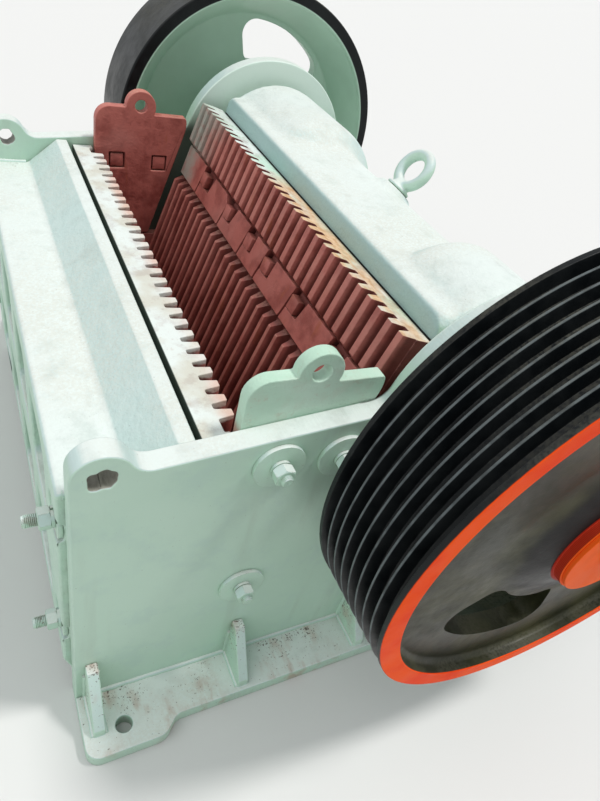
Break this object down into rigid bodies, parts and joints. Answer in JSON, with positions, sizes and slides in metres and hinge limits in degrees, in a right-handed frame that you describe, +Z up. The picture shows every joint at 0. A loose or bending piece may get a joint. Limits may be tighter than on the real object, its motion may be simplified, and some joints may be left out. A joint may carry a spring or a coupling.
{
  "type": "jaw crusher",
  "caption": "Single-toggle jaw crusher with a wide toothed mouth, side-plate frame on foundation feet, eccentric shaft, flywheel and V-groove pulley.",
  "frame": {"origin": "centre of the rectangle of the foundation bolt holes, at floor level", "axes": "+X from the fixed jaw to the toggle end, +Y along the shaft from the pulley to the flywheel, +Z up"},
  "size_m": [1.367, 2.038, 1.218],
  "materials": {
    "frame_paint": "semi-gloss pale mint paint, dusty",
    "cast_paint": "semi-gloss pale mint paint on cast steel",
    "bolt_paint": "painted bolts with worn edges",
    "red_oxide": "matt red oxide primer on manganese steel",
    "wheel_black": "black paint with orange face ring and hub",
    "hub_orange": "orange paint",
    "bare_steel": "oiled machined steel",
    "spring_steel": "dark spring steel"
  },
  "bodies": {
    "frame": {"side_plate_near": "frame_paint", "side_plate_far": "frame_paint", "front_wall": "frame_paint", "foot_near": "frame_paint", "foot_far": "frame_paint", "rear_wall": "frame_paint", "adjusting_block": "frame_paint", "adjusting_shims": "bare_steel", "toggle_plate": "cast_paint", "tension_bar": "frame_paint", "tension_springs": "spring_steel", "cheek_upper_near": "red_oxide", "cheek_upper_far": "red_oxide", "cheek_lower_near": "red_oxide", "cheek_lower_far": "red_oxide", "cheek_bolts_near": "bolt_paint", "cheek_bolts_far": "bolt_paint", "fixed_jaw": "red_oxide", "fixed_jaw_bolts": "bolt_paint", "bearing_housing_near": "cast_paint", "bearing_housing_far": "cast_paint", "bearing_cover_near": "cast_paint", "bearing_cover_far": "cast_paint"},
    "rotor": {"eccentric_shaft": "bare_steel", "flywheel": "wheel_black", "pulley": "wheel_black", "shaft_collars": "bare_steel", "shaft_end_plates": "hub_orange"},
    "swing_jaw": {"pitman": "cast_paint", "jaw_upper": "red_oxide", "jaw_lower": "red_oxide", "jaw_wedges": "red_oxide", "jaw_wedge_bolts": "red_oxide", "pitman_lifting_eye": "cast_paint", "pitman_bearings": "bare_steel", "pitman_end_covers": "cast_paint", "toggle_seat": "bare_steel", "tension_rods": "bare_steel", "spring_cups": "bare_steel"}
  },
  "joints": [
    {"name": "shaft_spin", "type": "hinge", "parent": "frame", "child": "rotor", "pos_m": [0.217, 0, 0.758], "axis": [0, 1, 0], "continuous": true},
    {"name": "jaw_swing", "type": "hinge", "parent": "frame", "child": "swing_jaw", "pos_m": [0.217, 0, 0.77], "axis": [0, 1, 0], "range_deg": [0, 1.2]}
  ]
}
